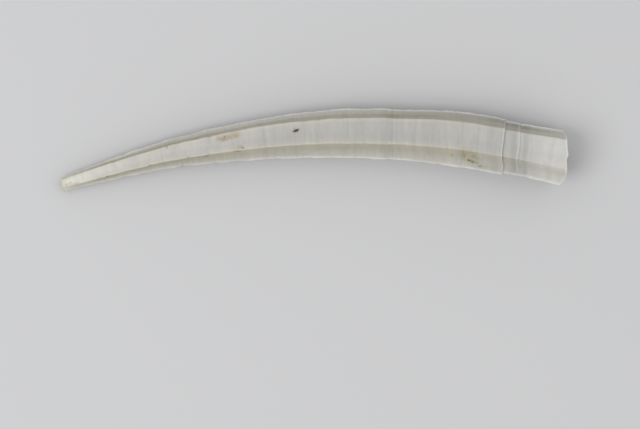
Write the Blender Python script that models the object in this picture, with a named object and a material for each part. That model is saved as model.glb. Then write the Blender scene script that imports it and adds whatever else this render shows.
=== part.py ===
"""Six-sided tusk shell lying on its side: one thin curved tube, narrow at its tip, open at both ends.

The centreline is a flat cubic curve with a slight sway, seen from above, and +Z is up. Rings of
points stand square to it, and near the mouth they follow the growth lines and then the broken lip.
The outer skin has six ribs with shallow facets between them, and it steps down twice near the
mouth, where growth stopped and began again. The inner skin is a smoother bore, and the two are
joined round the mouth and round the small hole at the tip. Lengths are in millimetres until a
vertex is made.
"""

import math

import bmesh
import bpy
import numpy as np

MM = 0.001

# Centreline from above: the tip, two handles and the mouth. The bend bulges towards +Y.
SPINE = ((0.0, 0.0), (16.7, 5.23), (31.2, 7.44), (51.9, 2.74))
# The bend isn't quite even: (distance along, how far it sways to the outside of the bend).
SWAY = ((0.0, -0.02), (6.0, 0.0), (11.5, 0.085), (18.5, -0.055), (24.0, -0.04), (29.0, 0.0))
SWAY += ((36.0, 0.0), (41.5, 0.065), (48.0, -0.06), (53.0, 0.01))
# Height of the centreline over the surface at the tip, halfway and at the mouth.
AXIS_HEIGHTS = (0.63, 2.16, 2.72)

# (distance along the shell, radius to a rib's crest). The shell swells before it steps down.
GIRTH = (
    (0.0, 0.79),
    (1.0, 0.86),
    (5.0, 1.10),
    (9.5, 1.39),
    (20.0, 2.07),
    (30.0, 2.60),
    (35.5, 2.70),
    (40.0, 2.91),
    (46.0, 3.01),
    (49.0, 2.93),
    (52.6, 3.08),
    (53.4, 3.10),
)
# (distance along the shell, the angles of its six ribs there), from the +Y side up over the top.
RIBS = (
    (0.0, -1.0, 64.0, 128.0, 180.0, 240.0, 300.0),
    (5.0, -2.0, 64.0, 126.0, 179.2, 239.0, 299.0),
    (10.0, -3.0, 63.0, 121.5, 178.3, 238.0, 298.0),
    (18.0, -4.5, 57.0, 118.5, 177.0, 236.5, 296.5),
    (30.0, -6.7, 56.0, 116.8, 174.9, 234.3, 294.3),
    (38.0, -8.2, 55.2, 114.4, 173.6, 232.8, 292.8),
    (45.0, -9.5, 55.0, 114.3, 172.4, 231.5, 291.5),
    (50.0, -10.4, 53.0, 115.5, 171.5, 230.5, 290.5),
    (54.0, -11.0, 52.0, 115.5, 171.0, 230.0, 290.0),
)

PLACES_IN_FACET = (0.0, 0.08, 0.23, 0.5, 0.77, 0.92)  # shares of the way to the next rib
RIB_SHARPNESS = 34.0
TIP_SHARPNESS = 14.0
BORE_SHARPNESS = 12.0
TIP_ROUNDING = 7.0  # the stretch behind the tip on which the ribs fade
FACET_HOLLOW = 0.022  # share of the radius by which a facet sinks between its ribs

# Growth halts: the distance along the shell, the lip's height and the drop behind it.
GROWTH_HALTS = ((46.15, 0.05, 0.15), (47.65, 0.045, 0.0))
LIP_WIDTH = 0.22

WALL = 0.44
WALL_AT_LIP = 0.30
WALL_THINNING = 4.0
BORE_AT_TIP = 0.33
EDGE_ROUND = 0.12

# The broken mouth: (angle, how far the lip reaches past the end of the centreline).
MOUTH_LIP = (
    (-11.0, -0.70),
    (12.0, -0.41),
    (27.0, -0.22),
    (38.0, -0.16),
    (55.0, -0.18),
    (70.0, 0.04),
    (82.0, 0.20),
    (94.0, 0.10),
    (103.0, 0.15),
    (113.0, 0.41),
    (124.0, 0.55),
    (136.0, 0.50),
    (145.0, 0.47),
    (158.0, 0.40),
    (172.0, 0.20),
    (186.0, 0.00),
    (205.0, 0.12),
    (235.0, 0.10),
    (262.0, -0.15),
    (292.0, -0.22),
    (318.0, -0.42),
    (336.0, -0.62),
    (349.0, -0.70),
)
LIP_START = 48.6
# The worn tip: (angle, how far past the start of the centreline it is cut back).
TIP_RIM = (
    (-11.0, 0.70),
    (8.0, 0.66),
    (34.0, 0.27),
    (60.0, 0.11),
    (90.0, 0.11),
    (130.0, 0.06),
    (165.0, 0.00),
    (185.0, -0.03),
    (210.0, 0.03),
    (260.0, 0.15),
    (310.0, 0.45),
    (349.0, 0.70),
)
TIP_END = 1.4
# Growth lines near the mouth aren't quite square to the centreline: (angle, how far towards the mouth
# they lie there). The bend in them comes in over the stretch that follows.
LINE_SHIFTS = (
    (-11.0, 0.02),
    (20.0, 0.00),
    (52.0, -0.06),
    (66.0, -0.01),
    (82.0, 0.07),
    (98.0, 0.10),
    (112.0, 0.10),
    (131.0, 0.29),
    (150.0, 0.52),
    (168.0, 0.58),
    (190.0, 0.45),
    (225.0, 0.15),
    (260.0, 0.00),
    (349.0, 0.02),
)
LINE_CURVE_START = 36.0
LINE_CURVE_FULL = 44.0

OUTER_SPACING = 1.0
BORE_SPACING = 2.2
SHELL_COLOUR = (0.72, 0.69, 0.62, 1.0)


def remove_objects():
    for item in list(bpy.data.objects):
        bpy.data.objects.remove(item, do_unlink=True)


def ease(value):
    """0 to 1 with level ends."""
    value = min(max(value, 0.0), 1.0)
    return value * value * (3.0 - 2.0 * value)


def smooth_through(stations, place):
    """The value at place on a smooth curve through (place, value) stations."""
    places, values = (np.array(column) for column in zip(*stations))
    place = min(max(place, places[0]), places[-1])
    slopes = np.gradient(values, places)
    at = int(np.clip(np.searchsorted(places, place) - 1, 0, len(places) - 2))
    span = places[at + 1] - places[at]
    part = (place - places[at]) / span
    rise = ease(part)
    lead = span * part * (1.0 - part)
    bend = slopes[at] * (1.0 - part) - slopes[at + 1] * part
    return float(values[at] * (1.0 - rise) + values[at + 1] * rise + lead * bend)


def spine_point(share):
    back = 1.0 - share
    weights = (back**3, 3 * back * back * share, 3 * back * share * share, share**3)
    return np.array(weights) @ np.array(SPINE)


SHARES = np.linspace(0.0, 1.0, 401)
STEPS = np.diff([spine_point(share) for share in SHARES], axis=0)
DISTANCES = np.concatenate(([0.0], np.cumsum(np.hypot(*STEPS.T))))
LENGTH = float(DISTANCES[-1])


def spine_frame(distance):
    """The centreline's point, and the direction square to it, towards +Y. It runs straight past its ends."""
    share = float(np.interp(distance, DISTANCES, SHARES))
    reach = 0.001
    ahead = spine_point(min(share + reach, 1.0)) - spine_point(max(share - reach, 0.0))
    ahead /= np.hypot(*ahead)
    across = np.array((-ahead[1], ahead[0]))
    beyond = distance - min(max(distance, 0.0), LENGTH)
    return spine_point(share) + ahead * beyond + across * smooth_through(SWAY, distance), across


def axis_height(distance):
    """A parabola through the three stated heights."""
    share = distance / LENGTH
    tip, middle, mouth = AXIS_HEIGHTS
    return (
        tip * (1.0 - share) * (1.0 - 2.0 * share)
        + middle * 4.0 * share * (1.0 - share)
        + mouth * share * (2.0 * share - 1.0)
    )


def rib_angles(distance):
    places, *ribs = zip(*RIBS)
    return [smooth_through(tuple(zip(places, rib)), distance) for rib in ribs]


def facets(distance):
    """(angle of a rib, angle of the next one) for each facet."""
    ribs = rib_angles(distance)
    return list(zip(ribs, ribs[1:] + [ribs[0] + 360.0]))


def six_sided(distance, angle, sharpness):
    """Radius of a hexagon whose corners, if they were sharp, would be at 1. Sharpness rounds them."""
    total = 0.0
    for rib, next_rib in facets(distance):
        facing = math.cos(math.radians(angle - (rib + next_rib) / 2))
        nearness = math.cos(math.radians((next_rib - rib) / 2))
        total += max(facing / nearness, 0.0) ** sharpness
    return total ** (-1.0 / sharpness)


def growth_relief(distance):
    """What the growth halts add to the outer radius: a low lip each, and a drop past the first."""
    relief = 0.0
    for place, lip, drop in GROWTH_HALTS:
        before = (distance - place) / LIP_WIDTH
        if before <= 0.0:
            relief += lip * ease(1.0 + before)
        else:
            relief += lip * ease(1.0 - before) - drop * ease(before)
    return relief


def outer_radius(distance, place, angle, way):
    """Radius of the outer skin at a place. distance is its ring's, and way its share of the facet."""
    sharpness = TIP_SHARPNESS + (RIB_SHARPNESS - TIP_SHARPNESS) * ease(distance / TIP_ROUNDING)
    hollow = FACET_HOLLOW * 0.5 * (1.0 - math.cos(2.0 * math.pi * way))
    rounded = 2.0 ** (-1.0 / sharpness)  # what the rounding leaves of a corner
    shape = six_sided(distance, angle, sharpness) / rounded - hollow
    return smooth_through(GIRTH, place) * shape + growth_relief(distance)


def wall(distance):
    """The wall thins towards the lip."""
    return WALL_AT_LIP + (WALL - WALL_AT_LIP) * ease((LENGTH - distance) / WALL_THINNING)


def bore_radius(distance, place, angle, way):
    """The bore keeps the wall's thickness under the facets, and is round by the tip."""
    flat = math.cos(math.radians(30.0))
    bore = max(smooth_through(GIRTH, place) * flat - wall(distance), BORE_AT_TIP)
    cornered = six_sided(distance, angle, BORE_SHARPNESS) / flat
    return bore * (1.0 + (cornered - 1.0) * ease(2.0 * distance / LENGTH))


def along_the_shell(distance, angle):
    """Where a ring's point is: the ring follows the worn tip, the growth lines and the broken lip."""
    angle = (angle + 11.0) % 360.0 - 11.0
    lines = ease((distance - LINE_CURVE_START) / (LINE_CURVE_FULL - LINE_CURVE_START))
    lip = ease((distance - LIP_START) / (LENGTH - LIP_START))
    tip = ease(1.0 - distance / TIP_END)
    place = distance + smooth_through(TIP_RIM, angle) * tip
    place += smooth_through(LINE_SHIFTS, angle) * lines * (1.0 - lip)
    return place + smooth_through(MOUTH_LIP, angle) * lip


def ring(distance, radius_of, inset=0.0):
    """One ring of points round the centreline. inset draws it in, to round an edge."""
    points = []
    for rib, next_rib in facets(distance):
        for way in PLACES_IN_FACET:
            angle = rib + (next_rib - rib) * way
            place = along_the_shell(distance, angle)
            centre, across = spine_frame(place)
            radius = radius_of(distance, place, angle, way) - inset
            x, y = centre + across * radius * math.cos(math.radians(angle))
            height = axis_height(place) + radius * math.sin(math.radians(angle))
            points.append((x * MM, y * MM, max(height, 0.0) * MM))
    return points


def outer_places():
    """Distances of the outer rings: even ones, with closer ones at the tip, the halts and the lip."""
    places = [EDGE_ROUND, 0.5]
    places += list(np.arange(1.0, LENGTH - 0.8, OUTER_SPACING))
    for halt, _, _ in GROWTH_HALTS:
        near = (halt - 2.2 * LIP_WIDTH, halt - LIP_WIDTH, halt - 0.25 * LIP_WIDTH)
        beyond = (halt + 0.3 * LIP_WIDTH, halt + LIP_WIDTH)
        places = [place for place in places if not near[0] - 0.3 < place < beyond[-1] + 0.3]
        places += [*near, *beyond]
    return sorted(places) + [LENGTH - EDGE_ROUND]


def bore_places():
    """Distances of the bore's rings, from the lip back to the tip."""
    places = [EDGE_ROUND, *np.arange(BORE_SPACING, LENGTH - 1.0, BORE_SPACING), LENGTH - EDGE_ROUND]
    return places[::-1]


def skin(rings):
    """Quads from each ring to the next, and from the last back to the first."""
    bm = bmesh.new()
    loops = [[bm.verts.new(point) for point in points] for points in rings]
    for here, there in zip(loops, loops[1:] + loops[:1]):
        for at in range(len(here)):
            beyond = (at + 1) % len(here)
            bm.faces.new((here[at], here[beyond], there[beyond], there[at]))
    bmesh.ops.recalc_face_normals(bm, faces=bm.faces)
    return bm


def shell_mesh():
    """The outer skin to the mouth, round the lip, and back along the bore to the tip."""
    rings = [ring(0.0, outer_radius, EDGE_ROUND)]
    rings += [ring(place, outer_radius) for place in outer_places()]
    rings.append(ring(LENGTH, outer_radius, EDGE_ROUND))
    rings += [ring(place, bore_radius) for place in bore_places()]
    bm = skin(rings)
    mesh = bpy.data.meshes.new("shell")
    bm.to_mesh(mesh)
    bm.free()
    return mesh


def centre_on_origin(mesh):
    """Puts the middle of the shell's box over the origin, and leaves its heights."""
    corners = np.array([vertex.co for vertex in mesh.vertices])
    middle = (corners.min(axis=0) + corners.max(axis=0)) / 2
    for vertex in mesh.vertices:
        vertex.co.x -= middle[0]
        vertex.co.y -= middle[1]


def shell_material():
    material = bpy.data.materials.new("shell")
    material.use_nodes = True
    shader = material.node_tree.nodes["Principled BSDF"]
    shader.inputs["Base Color"].default_value = SHELL_COLOUR
    shader.inputs["Roughness"].default_value = 0.42
    shader.inputs["Metallic"].default_value = 0.0
    return material


def make_shell():
    mesh = shell_mesh()
    centre_on_origin(mesh)
    mesh.materials.append(shell_material())
    mesh.shade_smooth()
    mesh.set_sharp_from_angle(angle=math.radians(40))
    shell = bpy.data.objects.new("shell", mesh)
    bpy.context.scene.collection.objects.link(shell)


remove_objects()
make_shell()
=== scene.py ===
"""Six-sided tusk shell lying on a plain pale floor.

The shell is one fine mesh that stands for the frame's node: an outer skin with ribs, shallow facets,
growth lines, two growth halts and a chipped mouth, and a smooth bore. The tables and the shell's
functions are in millimetres and degrees. +X runs from the tip to the mouth, and +Z is up.
"""

import math
from dataclasses import dataclass

import bpy
import numpy as np
from bpy.props import FloatProperty, FloatVectorProperty, IntProperty, PointerProperty
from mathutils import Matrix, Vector


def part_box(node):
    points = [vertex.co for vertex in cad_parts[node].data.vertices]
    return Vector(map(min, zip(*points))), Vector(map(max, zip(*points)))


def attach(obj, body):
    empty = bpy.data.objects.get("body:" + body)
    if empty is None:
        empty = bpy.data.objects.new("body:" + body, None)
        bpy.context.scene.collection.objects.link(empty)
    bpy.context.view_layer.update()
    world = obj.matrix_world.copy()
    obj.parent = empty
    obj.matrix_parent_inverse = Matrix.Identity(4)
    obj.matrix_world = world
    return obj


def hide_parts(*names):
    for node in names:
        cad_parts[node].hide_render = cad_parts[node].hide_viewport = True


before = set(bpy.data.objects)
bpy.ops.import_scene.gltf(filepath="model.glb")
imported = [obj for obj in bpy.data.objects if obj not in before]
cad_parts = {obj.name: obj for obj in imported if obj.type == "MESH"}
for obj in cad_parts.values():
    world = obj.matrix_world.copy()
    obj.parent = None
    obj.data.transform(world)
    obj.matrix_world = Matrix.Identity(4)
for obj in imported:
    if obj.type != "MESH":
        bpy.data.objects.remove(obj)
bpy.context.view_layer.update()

bl_info = {
    "name": "Tusk shell",
    "version": (1, 0, 0),
    "blender": (4, 5, 0),
    "location": "3D View > Sidebar > Tusk shell",
    "description": "Builds a six-sided tusk shell and a plain stage for it",
    "category": "Add Mesh",
}

NODE = "shell"
MM = 0.001

# ---- The shell's form --------------------------------------------------------------------------

# Centreline from above: the tip, two handles and the mouth. The bend bulges towards +Y.
SPINE = ((0.0, 0.0), (16.7, 5.23), (31.2, 7.44), (51.9, 2.74))
# The bend isn't quite even: (distance along, how far it sways to the outside of the bend).
SWAY = (
    (0.0, -0.02), (6.0, 0.0), (11.5, 0.085), (18.5, -0.055), (24.0, -0.055), (29.0, -0.03),
    (36.0, -0.045), (41.5, 0.03), (48.0, -0.075), (53.0, 0.0),
)
AXIS_HEIGHTS = (0.63, 2.16, 2.72)  # over the floor at the tip, halfway and at the mouth
# (distance along the shell, radius to a rib's crest). The shell swells before it steps down.
GIRTH = (
    (0.0, 0.79), (1.0, 0.86), (5.0, 1.09), (9.5, 1.37), (20.0, 2.06), (30.0, 2.58),
    (35.5, 2.66), (40.0, 2.86), (46.0, 2.98), (49.0, 2.93), (52.6, 3.07), (53.4, 3.09),
)
# (distance along the shell, the angles of its six ribs there), from the +Y side up over the top.
RIBS = (
    (0.0, -1.0, 53.4, 123.0, 180.0, 240.0, 300.0),
    (5.0, -2.0, 54.5, 121.8, 179.2, 239.0, 299.0),
    (10.0, -3.0, 59.5, 119.8, 178.3, 238.0, 298.0),
    (14.5, -3.9, 58.8, 119.4, 177.6, 237.2, 297.2),
    (19.0, -4.7, 55.1, 116.4, 176.8, 236.2, 296.2),
    (30.0, -6.7, 55.5, 115.2, 174.9, 234.3, 294.3),
    (38.0, -8.2, 53.6, 112.9, 173.6, 232.8, 292.8),
    (45.0, -9.5, 54.5, 112.9, 172.4, 231.5, 291.5),
    (50.0, -10.4, 52.2, 114.1, 171.5, 230.5, 290.5),
    (54.0, -11.0, 50.5, 114.2, 171.0, 230.0, 290.0),
)
# A facet has the number of the rib that it starts from.
FACETS = 6
OUTER_FACETS = (0, 5)  # on the outside of the bend
INNER_FACETS = (2, 3)
SIDE_FACETS = OUTER_FACETS + INNER_FACETS
SIDE_RIB_FIRST = (0, 3)  # the side facets that start from the rib at the side

RIB_SHARPNESS = 30.0
TIP_SHARPNESS = 4.5
BORE_SHARPNESS = 12.0
RIB_FADE = 9.0  # the ribs rise over this stretch behind the tip
RIB_CORD_WIDTH = 0.15
RIB_WANDER = 0.55  # degrees
RIB_WANDER_LENGTH = 1.7
SOFT_RIB = 114.0  # the angle of the rib that is rounder by the mouth
SOFT_RIB_WIDTH = 34.0  # degrees
SOFT_RIB_FROM = 48.0
SOFT_RIB_LOSS = 0.62  # the share of its sharpness that it loses
# What is left of the relief at the tip, as shares.
HOLLOW_AT_TIP = 0.1
CREST_AT_TIP = 0.25
LEDGES_AT_TIP = 0.3

# Where the shell swelled a little and then fell back: distance along the shell, height, run up to it.
SWELLS = (
    (5.7, 0.030, 1.6), (9.0, 0.015, 1.6), (12.6, 0.035, 2.0), (15.9, 0.020, 2.2),
    (21.6, 0.020, 2.0), (25.0, 0.030, 2.4), (30.3, 0.015, 2.6), (33.95, 0.075, 2.6),
    (41.6, 0.030, 3.0),
)
SWELL_FALL = 0.55
SWELL_SINK = 0.03
SWELL_ON_FACETS = 0.45  # the share of a swell that is left between the ribs
# Growth halts: distance along the shell, height of the lip, drop behind it, depth of the groove.
HALTS = (
    (46.15, 0.035, 0.15, 0.035), (47.72, 0.030, 0.0, 0.048),
)
FIRST_HALT, SECOND_HALT = HALTS[0][0], HALTS[1][0]
HALT_LIP = 0.24  # how far a lip rises before its halt
HALT_FALL = 0.12  # how far the fall behind it runs
HALT_GROOVE = 0.42  # how far a groove runs behind that
HALT_WAVER = 0.03
# The outer side rib is worn down just before the first halt.
WORN_PLACE = FIRST_HALT - 0.05
WORN_LENGTH = 0.42
WORN_DEPTH = 0.10
WORN_ANGLE = -9.5
WORN_WIDTH = 20.0  # degrees
# Growth ledges: their runs, their drops as shares of the highest, and the share of a run that rises.
LEDGES = 90
LEDGE_RUNS = (0.35, 1.5)
LEDGE_DROPS = (0.25, 1.0)
LEDGE_RISE = 0.85
LEDGE_ON_FACETS = 0.28
# Chips out of the ribs: where they are, and their sizes. Depths are shares of the deepest.
NICKS = 64
NICK_PLACES = (4.0, 51.0)
NICK_LENGTHS = (0.10, 0.34)
NICK_DEPTHS = (0.25, 1.0)
NICK_WIDTHS = (0.12, 0.26)
# Fine rings at the tip, and how far they and the lumps there reach.
TIP_RING_HEIGHT = 0.012
TIP_RING_LENGTH = 0.42
TIP_RINGS_END = 2.2
TIP_LUMPS_END = 3.0
# Unevenness: (reach, length of its cells, random seed, cells round the shell).
LEDGE_WAVER = (0.16, 2.5, 8, 13)
SWELL_WAVER = (0.30, 3.0, 18, 7)
BAND_WAVER = (0.15, 2.0, 9, 11)
CORD_UNEVENNESS = (0.5, 0.9, 5, 12)
TIP_LUMPS = (0.030, 0.4, 31, 9)
SKIN_LUMPS = (0.012, 1.3, 3, 14)
SKIN_GRAIN = (0.005, 0.35, 4, 40)
BORE_LUMPS = (0.010, 0.8, 15, 8)

WALL_AT_LIP = 0.24
WALL_THINNING = 4.0
BORE_AT_TIP = 0.33
BORE_PERCENTILE = 4.0  # of the outer radius round a ring, which the wall is measured from
LIP_ROUND = 0.085
TIP_ROUND = 0.16
END_GAP = 0.02  # the least between an end's rounding and the next ring
BORE_END_GAP = 0.05
HALT_CROWDING = 2.0  # how many more rings there are at a halt, for each elsewhere
HALT_CROWD_LENGTH = 0.5

# The tables that go once round the shell start at this angle, just under the outer side rib.
TABLE_START = -11.0
RAGGED_ENDS = 0.030
# The broken mouth: (angle, how far the lip reaches past the end of the centreline).
MOUTH_LIP = (
    (-11.0, -0.62), (12.0, -0.23), (27.0, -0.20), (38.0, -0.18), (55.0, -0.19), (70.0, 0.06),
    (82.0, 0.23), (94.0, 0.12), (103.0, 0.21), (113.0, 0.36), (124.0, 0.51), (136.0, 0.51),
    (145.0, 0.53), (158.0, 0.46), (172.0, 0.23), (186.0, 0.00), (205.0, 0.12), (235.0, 0.10),
    (262.0, -0.15), (292.0, -0.22), (318.0, -0.42), (336.0, -0.58), (349.0, -0.62),
)
LIP_START = 48.6
# The worn tip: (angle, how far past the start of the centreline it is cut back).
TIP_RIM = (
    (-11.0, 0.70), (8.0, 0.66), (34.0, 0.27), (60.0, 0.11), (90.0, 0.11), (130.0, 0.00),
    (165.0, -0.07), (185.0, -0.09), (210.0, -0.01), (260.0, 0.15), (310.0, 0.45), (349.0, 0.70),
)
TIP_END = 1.4
# Growth lines towards the mouth aren't square to the centreline: (angle, how far towards the mouth
# the first halt's line lies there, how far the second's does).
LINE_SHIFTS = (
    (-11.0, 0.04, 0.00), (20.0, 0.02, -0.02), (52.0, -0.08, -0.05), (66.0, -0.05, 0.03),
    (82.0, 0.00, 0.14), (98.0, 0.02, 0.17), (112.0, 0.07, 0.14), (131.0, 0.30, 0.28),
    (150.0, 0.53, 0.50), (168.0, 0.58, 0.57), (190.0, 0.45, 0.45), (225.0, 0.15, 0.15),
    (260.0, 0.0, 0.0), (349.0, 0.04, 0.0),
)
LINE_CURVE_START = 28.0
LINE_CURVE_RUN = 16.0

# ---- Where its marks are -----------------------------------------------------------------------

# (distance along, facet, share of the way across it, half length, half width, turn, strength)
RUST = (
    (17.66, 1, 0.165, 0.72, 0.42, 5.0, 0.90),
    (18.62, 1, 0.125, 0.76, 0.40, 3.0, 0.88),
    (17.62, 1, 0.215, 0.30, 0.25, 0.0, 1.00),
    (19.10, 1, 0.900, 0.34, 0.24, 0.0, 0.62),
    (18.60, 1, 0.970, 0.60, 0.10, 0.0, 0.50),
    (18.90, 2, 0.080, 0.40, 0.20, 0.0, 0.45),
    (20.60, 1, 0.890, 0.16, 0.10, 0.0, 0.22),
    (21.20, 1, 0.930, 0.14, 0.08, 0.0, 0.30),
    (15.50, 2, 0.170, 0.30, 0.16, 0.0, 0.45),
    (14.73, 0, 0.820, 0.28, 0.09, 0.0, 0.80),
    (19.95, 0, 0.850, 0.18, 0.10, 0.0, 0.45),
    (20.60, 0, 0.400, 0.30, 0.28, 0.0, 0.28),
    (21.35, 0, 0.550, 0.22, 0.30, 0.0, 0.35),
    (24.65, 0, 0.500, 0.30, 0.40, 0.0, 0.35),
    (0.72, 0, 0.930, 0.28, 0.12, 0.0, 0.60),
    (0.80, 1, 0.880, 0.55, 0.28, 0.0, 0.45),
    (0.55, 1, 0.850, 0.18, 0.22, 0.0, 0.50),
    (1.55, 1, 0.980, 0.45, 0.22, 0.0, 0.45),
    (4.20, 2, 0.020, 0.32, 0.16, 0.0, 0.40),
)
GRIME = (
    (25.05, 1, 0.360, 0.42, 0.24, -10.0, 0.45),
    (25.25, 1, 0.450, 0.85, 0.60, 0.0, 0.10),
    (42.55, 2, 0.340, 0.95, 0.95, 0.0, 0.50),
    (42.06, 2, 0.330, 0.17, 0.84, 4.0, 0.85),
    (42.78, 2, 0.620, 0.52, 0.24, 12.0, 1.00),
    (43.20, 2, 0.270, 0.24, 0.34, 0.0, 0.60),
    (42.60, 2, 0.130, 0.45, 0.20, 0.0, 0.55),
    (42.02, 2, 0.560, 0.22, 0.18, 0.0, 0.60),
    (43.25, 2, 0.660, 0.24, 0.18, 0.0, 0.70),
    (40.78, 2, 0.420, 0.10, 0.30, 0.0, 0.50),
    (43.72, 2, 0.785, 0.20, 0.20, 0.0, 0.45),
    (44.00, 2, 0.800, 0.50, 0.30, 0.0, 0.12),
    (37.30, 0, 0.700, 0.30, 0.35, 0.0, 0.35),
    (35.00, 0, 0.640, 1.10, 0.60, 0.0, 0.38),
    (37.40, 0, 0.580, 1.90, 0.45, 0.0, 0.28),
    (17.72, 1, 0.155, 0.13, 0.11, 0.0, 0.90),
    (19.44, 1, 0.905, 0.16, 0.12, 10.0, 0.60),
    (18.83, 2, 0.060, 0.28, 0.08, 6.0, 0.80),
    (15.50, 2, 0.110, 0.30, 0.09, 5.0, 0.85),
    (14.73, 0, 0.850, 0.30, 0.11, 0.0, 0.80),
)
SAND = (
    (42.40, 2, 0.360, 0.17, 0.15, 0.0, 0.65),
    (42.68, 2, 0.430, 0.19, 0.13, 12.0, 0.60),
    (42.16, 2, 0.530, 0.14, 0.12, 0.0, 0.55),
    (42.75, 2, 0.200, 0.17, 0.14, 0.0, 0.40),
    (43.08, 2, 0.500, 0.16, 0.11, 0.0, 0.45),
)
SOOT = (
    (25.05, 1, 0.352, 0.31, 0.145, -14.0, 1.10),
    (17.72, 1, 0.155, 0.07, 0.06, 0.0, 0.42),
    (19.44, 1, 0.915, 0.11, 0.07, 10.0, 0.28),
    (18.83, 2, 0.060, 0.16, 0.05, 6.0, 0.30),
    (15.50, 2, 0.100, 0.18, 0.06, 5.0, 0.28),
    (13.70, 1, 1.000, 0.14, 0.08, 0.0, 0.30),
    (11.73, 1, 0.030, 0.10, 0.10, 30.0, 0.40),
    (9.55, 2, 0.030, 0.16, 0.07, 0.0, 0.35),
    (5.00, 2, 0.050, 0.20, 0.08, 0.0, 0.45),
    (31.95, 1, 0.900, 0.06, 0.15, 0.0, 0.10),
    (42.50, 2, 0.585, 0.18, 0.13, 10.0, 0.55),
    (42.84, 2, 0.680, 0.15, 0.12, 10.0, 0.45),
    (43.70, 2, 0.785, 0.11, 0.13, 0.0, 0.34),
    (22.60, 0, 0.450, 0.08, 0.08, 0.0, 0.16),
)
# The marks' edges: (width as a share of the half width, how far they waver, how finely).
RUST_EDGE = (0.45, 0.10, 2.2)
GRIME_EDGE = (0.65, 0.16, 2.6)
SAND_EDGE = (0.60, 0.05, 4.0)
SOOT_EDGE = (0.40, 0.03, 6.0)
# How weak and how strong their textures make them in patches, and the most of any stain.
RUST_PATCHES = (0.70, 1.15)
GRIME_PATCHES = (0.55, 1.25)
SAND_PATCHES = (0.7, 1.2)
SOOT_PATCHES = (0.8, 1.1)
MOST_STAIN = 0.96
# Where the skin is sunk under a mark, and how deep a mark of strength 1 is.
PIT_DEPTH = 0.11
PITS = (
    (25.05, 1, 0.352, 0.30, 0.16, -14.0, 1.00),
    (17.90, 1, 0.180, 0.80, 0.35, 0.0, 0.25),
)
# Thin dark growth lines: (distance along, half width, strength).
LINES = (
    (34.80, 0.055, 0.13), (31.70, 0.030, 0.05), (25.60, 0.030, 0.05), (24.90, 0.030, 0.05),
    (24.35, 0.030, 0.06), (23.85, 0.030, 0.05),
)
# Dusky growth bands: (distance along, half width, strength).
BANDS = (
    (21.6, 0.30, 0.20), (24.1, 0.20, 0.20), (30.05, 0.55, 0.40), (31.1, 0.20, 0.35),
    (33.9, 0.50, 0.30), (34.65, 0.55, 0.42), (41.3, 0.45, 0.25), (44.9, 0.60, 0.25),
    (47.20, 0.44, 0.70), (48.45, 0.40, 0.55), (49.6, 0.30, 0.25),
)
BAND_EDGE = 1.4  # how crisp a band's edges are
# Ageing: (place as a share of the length, share of the way from one age's colour to the next's).
OLDER = (
    (0.0, 0.0), (0.04, 0.34), (0.084, 0.59), (0.147, 0.79), (0.21, 0.87), (0.30, 0.91),
    (0.38, 0.94), (0.46, 0.985), (0.58, 1.0),
)
NEWER = ((0.80, 0.06), (0.915, 0.10), (0.933, 0.42), (0.951, 0.62), (0.97, 0.65), (1.0, 0.76))

# ---- How its tints and textures change over it -------------------------------------------------

# A change is (how much, where it starts, over what run), and a fade is the last two of these. Pairs
# are for the facets on the outside of the bend and for those on the inside.
OLIVE_LEAST = (0.20, 0.30)  # what is left of it by the side rib
OLIVE_RISES = ((0.62, -0.3, 1.6), (0.38, 2.4, 3.0))
OLIVE_FADE = (40.0, 7.0)
OLIVE_LOST = (0.10, 0.60)  # the share that the fade takes
# Painted shade that greys the side facets: the old ones by the tip, the new ones by the halts, and the
# tip's rim.
SHADE_FADES = ((0.55, 4.0, 5.0), (0.45, 13.0, 8.0))
OUTER_SHADE = (0.935, 47.8, 4.4, 0.29, 0.16)  # strength, place, length, share of the way across, width
INNER_SHADE = (0.24, 47.3, 1.7)  # strength, place, length
INNER_SHADE_RISES = ((0.11, 47.0, 1.5),)
TIP_SHADE = (0.85, 0.42)  # strength, length
CREST_WIDTHS = (0.12, 0.23)  # on the side facets and on the top and bottom
CREST_FADE = (36.0, 47.0, 1.0, 0.35)  # from where, to where, from how much, to how much
# Painted highlight along the side ribs, which edge the shell's top and bottom: strengths on the outer
# and inner side, its rise along the shell, and its width.
EDGE_HIGHLIGHT_STRENGTHS = (1.0, 0.65)
EDGE_HIGHLIGHT_RISE = (14.0, 14.0)
EDGE_WIDTH = 0.30
# Width of the painted highlight along the mouth's rim.
RIM_WIDTH = 0.16
# Painted highlight in a strip beside the side ribs: strength, width, and the fades that it begins and
# ends with.
OUTER_HIGHLIGHT_STRIP = (0.30, 1.2, (9.0, 5.0), (32.5, 4.5))
INNER_HIGHLIGHT_STRIP = (0.24, 0.7, (24.0, 4.0), (41.0, 3.0))
# Painted light that lifts the shade on the side facets by the tip.
TIP_LIGHT = 0.12
TIP_LIGHT_FADE = (0.4, 1.7)
# Painted highlight on each halt's lip.
HALT_HIGHLIGHTS = ((0.25, 0.07), (0.22, 0.09))  # strength and width of each lip's pale edge
HALT_HIGHLIGHT_BACK = 0.06  # how far before its halt it is
CREASE_BROWNING = (0.22, 0.50, 116.0, 26.0)  # least, how much more, and the angle and half width of that
CREASE = (0.07, 0.05)  # how far past the first halt it is, and its width
# Textures: (across, scale, detail, roughness). Where across is under 1, their cells are longer across.
SHELL_TEXTURES = (
    (0.16, 0.28, 2.0, 0.5),  # slow waves
    (0.16, 1.3, 3.0, 0.55),  # growth lines
    (0.07, 4.2, 2.0, 0.6),  # fine growth lines
    (1.0, 2.6, 4.0, 0.6),  # mottling
    (1.0, 9.0, 3.0, 0.6),  # speckle
)
TEXTURE_DEPTHS = (0.03, 0.04, 0.05, 0.03)  # how much the first four lighten and darken the shell
BORE_TEXTURES = ((0.15, 0.9, 3.0, 0.55), (1.0, 1.6, 3.0, 0.6))  # growth rings and mottling
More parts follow.
